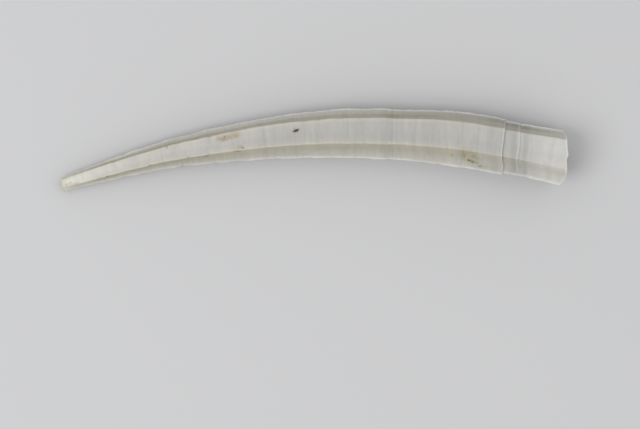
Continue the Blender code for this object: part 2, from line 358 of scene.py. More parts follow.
# How weak and how strong textures make the tints.
FLANK_BLOTCHES = (0.85, 1.15)
BAND_BLOTCHES = (0.75, 1.25)
CREST_BLOTCHES = (0.45, 0.90)
EDGE_BLOTCHES = (0.60, 1.0)
SHELL_ROUGHNESS = (0.36, 0.50)
BORE_ROUGHNESS = (0.26, 0.36)
DIRT_ROUGHNESS = 0.3
BUMP_HEIGHT = 0.02

# ---- The stage's places ------------------------------------------------------------------------

CAMERA_ASIDE = (0.79, -6.67)  # from over the middle of the shell
CAMERA_HEIGHT = 230.0
LAMP_DIRECTION = (-0.62, -0.30, 1.0)
# In lengths of the shell.
LAMP_DISTANCE = 8.0
LAMP_SIZE = 5.0
FLOOR_HALF_WIDTH = 20.0


class TuskShellSizes(bpy.types.PropertyGroup):
    """Sizes of the shell's relief."""

    wall: FloatProperty(
        name="Wall",
        description="Thickness of the wall away from the lip",
        default=0.00030,
        unit="LENGTH",
        precision=5,
    )
    facet_hollow: FloatProperty(
        name="Facet hollow",
        description="Share of the radius by which a facet sinks between its ribs",
        default=0.038,
        subtype="FACTOR",
    )
    rib_cord: FloatProperty(
        name="Rib cord",
        description="Height of the fine cord along each rib",
        default=0.00008,
        unit="LENGTH",
        precision=6,
    )
    growth_ledge: FloatProperty(
        name="Growth ledge",
        description="Height of the highest growth ledges on the ribs",
        default=0.00003,
        unit="LENGTH",
        precision=6,
    )
    nick: FloatProperty(
        name="Nick",
        description="Depth of the deepest nicks in the ribs",
        default=0.00009,
        unit="LENGTH",
        precision=6,
    )
    rings: IntProperty(
        name="Rings",
        description="Rings of points along the outer skin",
        default=600,
        min=100,
    )
    bore_rings: IntProperty(
        name="Bore rings",
        description="Rings of points along the bore",
        default=124,
        min=20,
    )
    points_per_facet: IntProperty(
        name="Points per facet",
        description="Points across each facet",
        default=22,
        min=6,
    )


class TuskShellColours(bpy.types.PropertyGroup):
    """Colours of the shell, as light shows them."""

    tip: FloatVectorProperty(
        name="Tip",
        description="Cream of the oldest shell, at the tip",
        default=(0.690, 0.676, 0.598),
        subtype="COLOR",
    )
    middle: FloatVectorProperty(
        name="Middle",
        description="Cool white-grey of the facets at the middle",
        default=(0.420, 0.412, 0.387),
        subtype="COLOR",
    )
    mouth: FloatVectorProperty(
        name="Mouth",
        description="White of the newest shell, at the mouth",
        default=(0.625, 0.620, 0.597),
        subtype="COLOR",
    )
    rib: FloatVectorProperty(
        name="Ribs",
        description="Cream of the ribs' crests",
        default=(0.520, 0.495, 0.425),
        subtype="COLOR",
    )
    flank: FloatVectorProperty(
        name="Flanks",
        description="Olive tint that multiplies the facets beside the upper ribs",
        default=(1.000, 0.955, 0.790),
        subtype="COLOR",
    )
    # Painted shade: this grey darkens the side facets where they fall in shade, and the tip's rim.
    painted_shade: FloatVectorProperty(
        name="Painted flank shade",
        description="Grey that darkens the old side facets and the new ones by the halts",
        default=(0.640, 0.650, 0.630),
        subtype="COLOR",
    )
    # Painted highlight: the near-white that the lit edges are painted with.
    edge: FloatVectorProperty(
        name="Edges",
        description="Near-white of the side ribs, the lips of the halts and the rim of the mouth",
        default=(0.840, 0.835, 0.800),
        subtype="COLOR",
    )
    band: FloatVectorProperty(
        name="Bands",
        description="Tint that multiplies the dusky growth bands",
        default=(0.800, 0.820, 0.850),
        subtype="COLOR",
    )
    rust: FloatVectorProperty(
        name="Rust stain",
        description="Orange-brown stain on the upper facet",
        default=(0.338, 0.258, 0.170),
        subtype="COLOR",
    )
    grime: FloatVectorProperty(
        name="Dirt",
        description="Yellow-brown dirt",
        default=(0.265, 0.228, 0.112),
        subtype="COLOR",
    )
    sand: FloatVectorProperty(
        name="Sand",
        description="Pale tan of the sand that clings in the dirt",
        default=(0.520, 0.440, 0.330),
        subtype="COLOR",
    )
    soot: FloatVectorProperty(
        name="Pit",
        description="Near-black of the pit and the specks",
        default=(0.035, 0.030, 0.022),
        subtype="COLOR",
    )
    bore: FloatVectorProperty(
        name="Bore",
        description="Grey-green of the bore",
        default=(0.420, 0.410, 0.350),
        subtype="COLOR",
    )


class TuskShellStage(bpy.types.PropertyGroup):
    """The floor, the light and the camera."""

    floor: FloatVectorProperty(
        name="Floor",
        description="Colour of the floor",
        default=(0.580, 0.582, 0.590),
        subtype="COLOR",
    )
    floor_bounce: FloatProperty(
        name="Floor bounce",
        description="How much light the floor throws back at the shell",
        default=0.30,
        subtype="FACTOR",
    )
    sky: FloatProperty(
        name="Sky",
        description="Strength of the even light from all round",
        default=0.80,
    )
    lamp: FloatProperty(
        name="Lamp",
        description="What the soft lamp adds on a level white surface",
        default=0.28,
    )
    lens: FloatProperty(
        name="Lens",
        description="Focal length of the camera",
        default=124.4,
        subtype="DISTANCE_CAMERA",
        unit="CAMERA",
    )


# ---- Curves and noise --------------------------------------------------------------------------


def ease(values):
    """0 to 1 with level ends."""
    values = np.clip(values, 0.0, 1.0)
    return values * values * (3.0 - 2.0 * values)


def rising(values, start, run):
    """0 up to the start, and 1 from the end of the run on."""
    return ease((values - start) / run)


def bell(away, width):
    """1 at no distance, about a third at the width and next to nothing at twice the width."""
    return np.exp(-((away / width) ** 2))


def at_least(least, share):
    """From the least to 1, as the share goes from 0 to 1."""
    return least + (1.0 - least) * share


def turned(angles, centre):
    """Degrees from the centre to each angle, the short way round."""
    return (angles - centre + 180.0) % 360.0 - 180.0


def bump(angles, centre, half_width):
    """1 at an angle round the shell, fading to 0 at half_width degrees from it."""
    return ease(1.0 - np.abs(turned(angles, centre)) / half_width)


def smooth_through(stations, places):
    """Values at places on a smooth curve through (place, value) stations."""
    known, values = np.array(stations).T
    places = np.clip(places, known[0], known[-1])
    slopes = np.gradient(values, known)
    at = np.clip(np.searchsorted(known, places) - 1, 0, len(known) - 2)
    span = known[at + 1] - known[at]
    part = (places - known[at]) / span
    bend = slopes[at] * (1.0 - part) - slopes[at + 1] * part
    level = values[at] + (values[at + 1] - values[at]) * ease(part)
    return level + span * part * (1.0 - part) * bend


def noise(along, around, seed, turns):
    """Smooth noise from -1 to 1. along is in cells. around is in turns, and wraps over turns cells."""
    random = np.random.default_rng(seed)
    along, around = np.broadcast_arrays(along, around * turns)
    cell, row = np.floor(along).astype(int), np.floor(around).astype(int)
    cell_part, row_part = ease(along - cell), ease(around - row)
    cell = cell - cell.min()
    table = random.uniform(-1.0, 1.0, (cell.max() + 2, turns))
    near, far = row % turns, (row + 1) % turns
    first = table[cell, near] * (1.0 - row_part) + table[cell, far] * row_part
    second = table[cell + 1, near] * (1.0 - row_part) + table[cell + 1, far] * row_part
    return first * (1.0 - cell_part) + second * cell_part


def spine_table():
    """Distances along the centreline, its points and its directions."""
    shares = np.linspace(0.0, 1.0, 2001)[:, None]
    back = 1.0 - shares
    weights = np.hstack((back**3, 3 * back**2 * shares, 3 * back * shares**2, shares**3))
    points = weights @ np.array(SPINE)
    steps = np.diff(points, axis=0)
    distances = np.concatenate(([0.0], np.cumsum(np.hypot(*steps.T))))
    along = np.gradient(points, axis=0)
    along /= np.linalg.norm(along, axis=1)[:, None]
    return distances, points, along


SPINE_DISTANCES, SPINE_POINTS, SPINE_ALONG = spine_table()
LENGTH = float(SPINE_DISTANCES[-1])


def on_spine(distances):
    """The centreline's point and direction at these distances. It runs straight on past its ends."""
    beyond = distances - np.clip(distances, 0.0, LENGTH)
    point_x, point_y = (np.interp(distances, SPINE_DISTANCES, column) for column in SPINE_POINTS.T)
    along_x, along_y = (np.interp(distances, SPINE_DISTANCES, column) for column in SPINE_ALONG.T)
    sway = smooth_through(SWAY, distances)
    point_x += along_x * beyond - along_y * sway
    point_y += along_y * beyond + along_x * sway
    return point_x, point_y, along_x, along_y


def axis_height(distances):
    """A parabola through the three stated heights."""
    share = distances / LENGTH
    tip, middle, mouth = AXIS_HEIGHTS
    start = tip * (1.0 - share) * (1.0 - 2.0 * share)
    return start + middle * 4.0 * share * (1.0 - share) + mouth * share * (2.0 * share - 1.0)


# ---- The grid of points ------------------------------------------------------------------------


@dataclass
class Grid:
    """A skin's points: one row of them for each ring, one column for each place round it."""

    rows: np.ndarray  # distance of each ring before the ends are cut, as a column
    insets: np.ndarray  # how far each ring is drawn in, as a column
    ribs: np.ndarray  # the ribs' angles on each ring
    facet: np.ndarray  # the facet that each column is on
    way: np.ndarray  # its share of the way across that facet
    angles: np.ndarray
    place: np.ndarray  # distance of each point along the centreline
    growth: np.ndarray  # which growth line it is on, as that line's distance along the shell

    def noise(self, reach, cell, seed, cells_round):
        """Smooth noise of that reach. Its cells are so long, and so many go round the shell."""
        return reach * noise(self.growth / cell, self.angles / 360.0, seed, cells_round)

    def on(self, facets):
        """Whether each column is on one of these facets."""
        return np.isin(self.facet, facets)

    def from_side(self):
        """On a side facet, the share of the way across it from the rib at the side."""
        return np.where(self.on(SIDE_RIB_FIRST), self.way, 1.0 - self.way)

    def risen(self):
        """How far the ribs have risen behind the tip, from 0 to 1."""
        return ease(self.rows / RIB_FADE)

    def beside(self, angles, radius):
        """Distance of each point round the shell from an angle on each ring."""
        return np.radians(turned(self.angles, angles[:, None])) * radius


def rib_angles(rows):
    """The six ribs' angles on each ring, with a slight wander of each rib."""
    places, *ribs = zip(*RIBS)
    angles = np.hstack([smooth_through(tuple(zip(places, rib)), rows) for rib in ribs])
    cells = rows[:, 0] / RIB_WANDER_LENGTH
    wander = [noise(cells, 0.0 * cells, 40 + rib, 1) for rib in range(FACETS)]
    return angles + RIB_WANDER * np.stack(wander, axis=1)


def across_facet(ribs, facet, way):
    """The angle on each ring of a place that share of the way across a facet."""
    following = np.hstack((ribs[:, 1:], ribs[:, :1] + 360.0))
    return ribs[:, facet] + (following - ribs)[:, facet] * way


def wrapped_round(angles):
    """The same angles, within the range of the tables that go once round the shell."""
    return (angles - TABLE_START) % 360.0 + TABLE_START


def cut_ends(rows, angles):
    """Distance of each point along the centreline, between the worn tip and the broken mouth."""
    wrapped = wrapped_round(angles)
    ragged = RAGGED_ENDS * noise(0.0 * rows, angles / 360.0, 11, 31)
    mouth = smooth_through(MOUTH_LIP, wrapped) + ragged
    tip = smooth_through(TIP_RIM, wrapped) + ragged
    near_mouth = rising(rows, LIP_START, LENGTH - LIP_START)
    return rows + mouth * near_mouth + tip * ease(1.0 - rows / TIP_END)


def growth_lines(place, angles):
    """Which growth line each point is on. The lines curve more and more towards the mouth."""
    around, first, second = zip(*LINE_SHIFTS)
    angles = wrapped_round(angles)
    at_first = smooth_through(tuple(zip(around, first)), angles)
    at_second = smooth_through(tuple(zip(around, second)), angles)
    towards_second = rising(place, FIRST_HALT + 0.2, SECOND_HALT - FIRST_HALT)
    shift = at_first + (at_second - at_first) * towards_second
    return place - shift * rising(place, LINE_CURVE_START, LINE_CURVE_RUN)


def make_grid(rows, insets, points_per_facet):
    """Points crowd towards the ribs."""
    steps = np.arange(points_per_facet) / points_per_facet
    way = np.tile(steps - 0.5 * np.sin(2.0 * np.pi * steps) / (2.0 * np.pi), FACETS)
    facet = np.repeat(np.arange(FACETS), points_per_facet)
    rows, insets = rows[:, None], insets[:, None]
    ribs = rib_angles(rows)
    angles = across_facet(ribs, facet, way)
    place = cut_ends(rows, angles)
    return Grid(rows, insets, ribs, facet, way, angles, place, growth_lines(place, angles))


def rib_distance(grid, radius):
    """Distance of each point from the nearest rib, round the shell."""
    apart = np.abs(turned(grid.angles[:, :, None], grid.ribs[:, None, :]))
    return np.radians(apart.min(axis=2)) * radius


def six_sided(grid, sharpness):
    """Radius of a hexagon whose corners, if they were sharp, would be at 1. Sharpness rounds them."""
    total = np.zeros_like(grid.angles)
    for facet in range(FACETS):
        rib, middle = grid.ribs[:, facet], across_facet(grid.ribs, facet, 0.5)
        facing = np.cos(np.radians(grid.angles - middle[:, None]))
        nearness = np.cos(np.radians(middle - rib))[:, None]
        total += np.clip(facing / nearness, 0.0, None) ** sharpness
    return total ** (-1.0 / sharpness)


# ---- The outer skin's relief -------------------------------------------------------------------


def body_radius(grid, facet_hollow):
    """The six-sided tube, with hollow facets and ribs that fade towards the tip."""
    sharpness = TIP_SHARPNESS + (RIB_SHARPNESS - TIP_SHARPNESS) * grid.risen()
    near_mouth = rising(grid.rows, SOFT_RIB_FROM, LENGTH - SOFT_RIB_FROM)
    softening = bump(grid.angles, SOFT_RIB, SOFT_RIB_WIDTH) * near_mouth
    sharpness = sharpness * (1.0 - SOFT_RIB_LOSS * softening)
    hollow = facet_hollow * at_least(HOLLOW_AT_TIP, grid.risen())
    dip = 0.5 * (1.0 - np.cos(2.0 * np.pi * grid.way))
    shape = six_sided(grid, sharpness) / 2.0 ** (-1.0 / sharpness) - hollow * dip
    return smooth_through(GIRTH, grid.place) * shape


def past_halt(grid, place):
    """Distance past a growth halt, whose line wavers a little round the shell."""
    seed = int(place * 10)
    waver = HALT_WAVER * noise(0.0 * grid.growth, grid.angles / 360.0, seed, 15)
    return grid.growth - place + waver


def halts(grid):
    """A low lip, a groove behind it and, at the first halt, a drop to a narrower tube."""
    relief = np.zeros_like(grid.growth)
    for place, lip, drop, groove in HALTS:
        past = past_halt(grid, place)
        rise = ease(1.0 + past / HALT_LIP) * (past <= 0.0)
        fall = ease(past / HALT_FALL)
        trough = groove * fall * ease(1.0 - (past - HALT_FALL) / HALT_GROOVE)
        relief += lip * rise + (past > 0.0) * (lip * (1.0 - fall) - drop * fall - trough)
    return relief


def growth_ledges(grid, near_rib, height):
    """How far the skin lies below the ledges' tops: each stretch rises a little and then drops."""
    random = np.random.default_rng(7)
    ends = np.cumsum(random.uniform(*LEDGE_RUNS, LEDGES)) - 0.5
    drops = random.uniform(*LEDGE_DROPS, LEDGES) * height
    place = grid.growth + grid.noise(*LEDGE_WAVER)
    at = np.clip(np.searchsorted(ends, place), 1, LEDGES - 1)
    part = (place - ends[at - 1]) / (ends[at] - ends[at - 1])
    saw = np.where(part < LEDGE_RISE, part / LEDGE_RISE, (1.0 - part) / (1.0 - LEDGE_RISE))
    return drops[at] * (1.0 - saw) * at_least(LEDGE_ON_FACETS, near_rib)


def swells(grid, near_rib):
    """Broad low swellings. They rise slowly, end in a short fall, and are fullest on the ribs."""
    waver = grid.noise(*SWELL_WAVER)
    relief = np.zeros_like(grid.growth)
    for place, height, run in SWELLS:
        past = grid.growth - place + waver
        relief += height * ease(1.0 + past / run) * (past <= 0.0)
        relief += height * ease(1.0 - past / SWELL_FALL) * (past > 0.0)
    return (relief - SWELL_SINK) * at_least(SWELL_ON_FACETS, near_rib)


def nicks(grid, radius, deepest):
    """Depth of small chips out of the ribs' crests."""
    random = np.random.default_rng(21)
    depths = np.zeros_like(grid.growth)
    for _ in range(NICKS):
        rib = random.integers(FACETS)
        place = random.uniform(*NICK_PLACES)
        length, depth = random.uniform(*NICK_LENGTHS), deepest * random.uniform(*NICK_DEPTHS)
        width = random.uniform(*NICK_WIDTHS)
        beside = grid.beside(grid.ribs[:, rib], radius)
        depths += depth * bell(grid.growth - place, length) * bell(beside, width)
    return depths


def worn_corner(grid):
    """How far the outer side rib is worn down just before the first halt."""
    before = bell(grid.growth - WORN_PLACE, WORN_LENGTH) * (past_halt(grid, FIRST_HALT) <= 0.0)
    return WORN_DEPTH * before * bump(grid.angles, WORN_ANGLE, WORN_WIDTH)


def tip_rings(grid):
    """A few fine rings and bumps at the tip."""
    rings = TIP_RING_HEIGHT * np.sin(2.0 * np.pi * grid.growth / TIP_RING_LENGTH)
    rings = rings * ease(1.0 - grid.growth / TIP_RINGS_END)
    return rings + grid.noise(*TIP_LUMPS) * ease(1.0 - grid.growth / TIP_LUMPS_END)


def facet_width(growth):
    """A facet is about as wide as the shell's radius."""
    return smooth_through(GIRTH, growth)


def marks_at(grid, radius, marks):
    """The strength of a set of marks at each point: soft ellipses on the unrolled skin."""
    found = np.zeros_like(grid.growth)
    for place, facet, way, half_length, half_width, turn, strength in marks:
        beside = grid.beside(across_facet(grid.ribs, facet, way), radius)
        ahead = grid.growth - place
        cosine, sine = math.cos(math.radians(turn)), math.sin(math.radians(turn))
        long_way = bell(ahead * cosine + beside * sine, half_length)
        short_way = bell(beside * cosine - ahead * sine, half_width)
        found = np.maximum(found, strength * long_way * short_way)
    return found


def outer_radius(grid, sizes):
    """The outer skin's radius."""
    radius = body_radius(grid, sizes.facet_hollow)
    apart = rib_distance(grid, radius)
    crest = bell(apart, RIB_CORD_WIDTH) * at_least(CREST_AT_TIP, grid.risen())
    near_rib = bell(apart, 3.0 * RIB_CORD_WIDTH) * grid.risen()
    cord = crest * (1.0 + grid.noise(*CORD_UNEVENNESS))
    radius = radius - sizes.rib_cord / MM * (1.0 - cord)
    radius += halts(grid) + swells(grid, near_rib)
    ledges = growth_ledges(grid, near_rib, sizes.growth_ledge / MM)
    radius -= ledges * at_least(LEDGES_AT_TIP, grid.risen())
    radius += (grid.noise(*SKIN_LUMPS) + grid.noise(*SKIN_GRAIN)) * grid.risen()
    radius -= nicks(grid, radius, sizes.nick / MM)
    radius += tip_rings(grid) - worn_corner(grid)
    radius -= PIT_DEPTH * marks_at(grid, radius, PITS)
    return radius - grid.insets


def bore_radius(grid, outer, outer_skin, sizes):
    """The bore keeps the wall's thickness under the facets' middles, and is round by the tip."""
    thinning = ease((LENGTH - grid.rows) / WALL_THINNING)
    wall = WALL_AT_LIP + (sizes.wall / MM - WALL_AT_LIP) * thinning
    narrowest = np.percentile(outer_skin + outer.insets, BORE_PERCENTILE, axis=1)
    flat = np.interp(grid.rows, outer.rows[:, 0], narrowest)
    cornered = six_sided(grid, BORE_SHARPNESS) / math.cos(math.pi / FACETS)
    shape = 1.0 + (cornered - 1.0) * ease(2.0 * grid.rows / LENGTH)
    return np.maximum(flat - wall, BORE_AT_TIP) * shape + grid.noise(*BORE_LUMPS) + grid.insets


# ---- From grids to a mesh ----------------------------------------------------------------------


def placed(grid, radius):
    """The grid's points in the frame of the centreline. None is below the floor."""
    centre_x, centre_y, along_x, along_y = on_spine(grid.place)
    beside = radius * np.cos(np.radians(grid.angles))
    above = axis_height(grid.place) + radius * np.sin(np.radians(grid.angles))
    points = (centre_x - along_y * beside, centre_y + along_x * beside, np.maximum(above, 0.0))
    return np.stack(points, axis=2)


def quarter_round(size, steps):
    """(distance back from the end, inset) of points round a quarter circle, from the side inwards."""
    turns = np.linspace(0.0, np.pi / 2, steps)
    return size * (1.0 - np.sin(turns)), size * (1.0 - np.cos(turns))


def outer_rows(rings):
    """Distances and insets of the outer rings: closer at the halts and tip, with round ends."""
    lip_back, lip_inset = quarter_round(LIP_ROUND, 5)
    tip_back, tip_inset = quarter_round(TIP_ROUND, 6)
    crowd = 1.0 + np.exp(-SPINE_DISTANCES)
    for place, *_ in HALTS:
        crowd = crowd + HALT_CROWDING * bell(SPINE_DISTANCES - place, HALT_CROWD_LENGTH)
    travel = np.concatenate(([0.0], np.cumsum(crowd[1:] * np.diff(SPINE_DISTANCES))))
    even = np.linspace(0.0, travel[-1], rings - len(lip_back) - len(tip_back))
    between = np.interp(even, travel, SPINE_DISTANCES)
    first, last = TIP_ROUND + END_GAP, LENGTH - LIP_ROUND - END_GAP
    between = between[(between > first) & (between < last)]
    rows = np.concatenate((tip_back[::-1], between, LENGTH - lip_back))
    insets = np.concatenate((tip_inset[::-1], 0.0 * between, lip_inset))
    return rows, insets


def bore_rows(rings):
    """Distances and insets of the bore's rings, from the lip back to the tip."""
    back, inset = quarter_round(LIP_ROUND, 4)
    first = LIP_ROUND + BORE_END_GAP
    between = np.linspace(first, LENGTH - first, rings)
    rows = np.concatenate((back[::-1], between, LENGTH - back))
    insets = np.concatenate((inset[::-1], 0.0 * between, inset))
    return rows[::-1], insets[::-1]


def ring_strip(first, rings, columns):
    """Quads between rings that follow one another, and round each of them."""
    row = first + np.arange(rings - 1)[:, None] * columns
    here = np.arange(columns)[None, :]
    beyond = (here + 1) % columns
    corners = (row + here, row + beyond, row + columns + beyond, row + columns + here)
    return np.stack(corners, axis=2).reshape(-1, 4)


def closing_strip(last, columns):
    """Quads from the last ring of points back to the first."""
    here = np.arange(columns)
    beyond = (here + 1) % columns
    return np.stack((last + here, last + beyond, beyond, here), axis=1)


def shell_points(outer, outer_skin, bore, bore_skin):
    """Every point, in the frame: the middle of the shell's box from above is the middle of the node's.
    """
    points = np.vstack((placed(outer, outer_skin), placed(bore, bore_skin))).reshape(-1, 3) * MM
    low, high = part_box(NODE)
    middle = (points.min(axis=0) + points.max(axis=0)) / 2
    points[:, 0] += (low.x + high.x) / 2 - middle[0]
    points[:, 1] += (low.y + high.y) / 2 - middle[1]
    return points


def shell_faces(outer, bore, columns):
    """The quads, and for each of them 0 if it is on the outer skin or 1 if it is in the bore."""
    outer_rings, bore_rings = len(outer.rows), len(bore.rows)
    outside = ring_strip(0, outer_rings, columns)
    inside = ring_strip((outer_rings - 1) * columns, bore_rings + 1, columns)
    tip = closing_strip((outer_rings + bore_rings - 1) * columns, columns)
    faces = np.vstack((outside, inside, tip))
    slots = np.zeros(len(faces), dtype=np.int32)
    slots[len(outside) + columns : len(outside) + len(inside)] = 1
    return faces, slots


def store(mesh, name, values):
    """A number or a vector for each point, for the materials to read."""
    kind, field = ("FLOAT", "value") if values.ndim == 1 else ("FLOAT_VECTOR", "vector")
    attribute = mesh.attributes.new(name, kind, "POINT")
    attribute.data.foreach_set(field, np.ascontiguousarray(values, dtype=np.float32).ravel())


# ---- The tints' patterns, each from 0 to 1 -----------------------------------------------------


def changed(grid, changes):
    """The sum of a tint's changes along the shell."""
    return sum(change * rising(grid.growth, start, run) for change, start, run in changes)


def stretch(grid, first, last):
    """1 along a stretch of the shell that begins and ends over these (start, run)."""
    return rising(grid.growth, *first) * (1.0 - rising(grid.growth, *last))


def by_facets(grid, outer, inner):
    """One number for the facets on the outside of the bend, and another for all the others."""
    return np.where(grid.on(OUTER_FACETS), outer, inner)


def flank_tint(grid):
    """How olive each point is: the side facets are, beside the ribs that edge the top and bottom."""
    least, lost = by_facets(grid, *OLIVE_LEAST), by_facets(grid, *OLIVE_LOST)
    tint = grid.on(SIDE_FACETS) * at_least(least, grid.from_side())
    return tint * changed(grid, OLIVE_RISES) * (1.0 - lost * rising(grid.growth, *OLIVE_FADE))


def painted_shade_tint(grid):
    """How much painted shade darkens each point: the old side facets, the new ones by the halts and the
    tip's rim.
    """
    old = flank_tint(grid) * (1.0 - changed(grid, SHADE_FADES))
    strength, place, length, way, width = OUTER_SHADE
    outer = strength * bell(grid.growth - place, length) * bell(grid.from_side() - way, width)
    strength, place, length = INNER_SHADE
    inner = strength * bell(grid.growth - place, length) + changed(grid, INNER_SHADE_RISES)
    new = np.maximum(grid.on(OUTER_FACETS) * outer, grid.on(INNER_FACETS) * inner)
    strength, length = TIP_SHADE
    return np.maximum(old, np.maximum(new, strength * bell(grid.rows, length)))


def crest_tint(grid, apart):
    """How creamy each point is: the ribs' crests, wider on the top and bottom facets."""
    width = np.where(grid.on(SIDE_FACETS), *CREST_WIDTHS)
    return bell(apart, width) * at_least(CREST_AT_TIP, grid.risen())


def highlight_tint(grid, apart):
    """How much painted highlight each point has: the side ribs, the skin by them, the halts' lips and
    the mouth's rim.
    """
    by_side = np.where(grid.on(SIDE_RIB_FIRST), grid.way < 0.5, grid.way >= 0.5)
    by_side = by_side & grid.on(SIDE_FACETS)
    strength = by_facets(grid, *EDGE_HIGHLIGHT_STRENGTHS)
    # Painted highlight along the side ribs, weaker towards the tip.
    rib_highlight = strength * at_least(0.5, rising(grid.growth, *EDGE_HIGHLIGHT_RISE)) * bell(apart, EDGE_WIDTH)
    # Painted highlight in a wider strip beside the side ribs, over a stretch of the shell.
    highlight_strips = []
    for strongest, width, first, last in (OUTER_HIGHLIGHT_STRIP, INNER_HIGHLIGHT_STRIP):
        highlight_strips.append(strongest * stretch(grid, first, last) * bell(apart, width))
    tint = by_side * np.maximum(rib_highlight, by_facets(grid, *highlight_strips))
    # Painted highlight on each halt's lip, just before the halt.
    for (place, *_), (strongest, width) in zip(HALTS, HALT_HIGHLIGHTS):
        tint = np.maximum(tint, strongest * bell(past_halt(grid, place) + HALT_HIGHLIGHT_BACK, width))
    # Painted light that lifts the shade on the side facets by the tip.
    tip_light = TIP_LIGHT * grid.on(SIDE_FACETS) * (1.0 - rising(grid.growth, *TIP_LIGHT_FADE))
    # Painted highlight along the mouth's rim.
    rim = strength * bell(LENGTH - grid.rows, RIM_WIDTH)
    return np.maximum(np.maximum(tint, tip_light), rim)


def crease_tint(grid):
    """How brown each point is in the first halt's groove. It is strongest by the upper rib."""
    least, more, angle, half_width = CREASE_BROWNING
    gathered = least + more * bump(grid.angles, angle, half_width)
    past, width = CREASE
    return gathered * bell(past_halt(grid, FIRST_HALT) - past, width)


def band_tint(grid):
    """How dusky each point is: growth bands, with wavering edges."""
    place = grid.growth + grid.noise(*BAND_WAVER)
    tint = np.zeros_like(place)
    for centre, half_width, strength in BANDS:
        band = ease(BAND_EDGE * (1.0 - np.abs(place - centre) / half_width))
        tint = np.maximum(tint, strength * band)
    return tint


def store_patterns(mesh, outer, outer_skin, bore, bore_skin):
    """Everything the materials need to know about each point. The bore has only its growth."""
    growth = np.concatenate((outer.growth.ravel(), bore.growth.ravel()))
    radius = np.concatenate((outer_skin.ravel(), bore_skin.ravel()))
    angles = np.radians(np.concatenate((outer.angles.ravel(), bore.angles.ravel())))
    store(mesh, "growth", growth)
    grain = np.stack((growth, radius * np.cos(angles), radius * np.sin(angles)), axis=1)
    store(mesh, "grain", grain)
    turn = (outer.facet + outer.way + 2.0) % FACETS - 2.0  # facets from rib 0, with its seam underneath
    skin = np.stack((outer.growth, facet_width(outer.growth) * turn, 0.0 * outer.growth), axis=2)
    store(mesh, "skin", np.concatenate((skin.reshape(-1, 3), np.zeros((bore.growth.size, 3)))))
    apart = rib_distance(outer, outer_skin)
    patterns = {
        "crest": crest_tint(outer, apart),
        # painted highlight
        "edge": highlight_tint(outer, apart),
        "flank": flank_tint(outer),
        # painted shade
        "painted_shade": painted_shade_tint(outer),
        "band": band_tint(outer),
        "crease": crease_tint(outer),
    }
    for name, values in patterns.items():
        store(mesh, name, np.concatenate((values.ravel(), np.zeros(bore.growth.size))))


def shell_mesh(sizes):
    """The whole shell as one closed mesh, with its patterns."""
    columns = FACETS * sizes.points_per_facet
    outer = make_grid(*outer_rows(sizes.rings), sizes.points_per_facet)
    bore = make_grid(*bore_rows(sizes.bore_rings), sizes.points_per_facet)
    outer_skin = outer_radius(outer, sizes)
    bore_skin = bore_radius(bore, outer, outer_skin, sizes)
    faces, slots = shell_faces(outer, bore, columns)
    mesh = bpy.data.meshes.new("shell skin")
    mesh.from_pydata(shell_points(outer, outer_skin, bore, bore_skin), [], faces[:, ::-1])
    mesh.polygons.foreach_set("material_index", slots)
    mesh.shade_smooth()
    store_patterns(mesh, outer, outer_skin, bore, bore_skin)
    return mesh


# ---- Materials ---------------------------------------------------------------------------------


